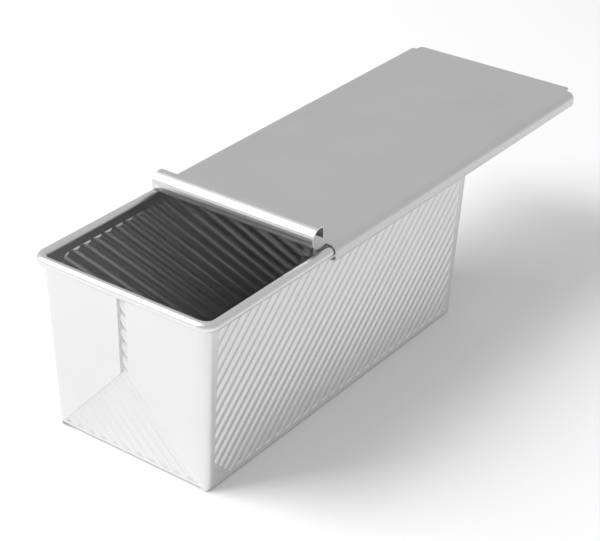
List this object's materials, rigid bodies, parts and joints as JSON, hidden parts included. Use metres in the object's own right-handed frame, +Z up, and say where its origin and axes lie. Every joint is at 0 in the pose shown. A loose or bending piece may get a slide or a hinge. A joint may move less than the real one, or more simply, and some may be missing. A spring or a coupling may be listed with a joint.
{
  "type": "lidded loaf pan",
  "caption": "Straight-sided lidded loaf pan in ridged, folded sheet steel with a rolled rim; its flat lid slides along the rim and has a curled pull edge.",
  "frame": {"origin": "centre of the base, on the plane it rests on", "axes": "+X along the pan, the way the lid slides open; -Y is the long side seen in the picture; +Z up"},
  "size_m": [0.3439, 0.1144, 0.1105],
  "materials": {
    "pan_sheet": "satin",
    "wire": "satin",
    "lid_sheet": "satin"
  },
  "bodies": {
    "pan": {"pan_body": "pan_sheet", "rim_wire": "wire"},
    "lid": {"lid": "lid_sheet"}
  },
  "joints": [
    {"name": "lid_slide", "type": "slide", "parent": "pan", "child": "lid", "axis": [1, 0, 0], "range_m": [-0.1075, 0.155]}
  ]
}
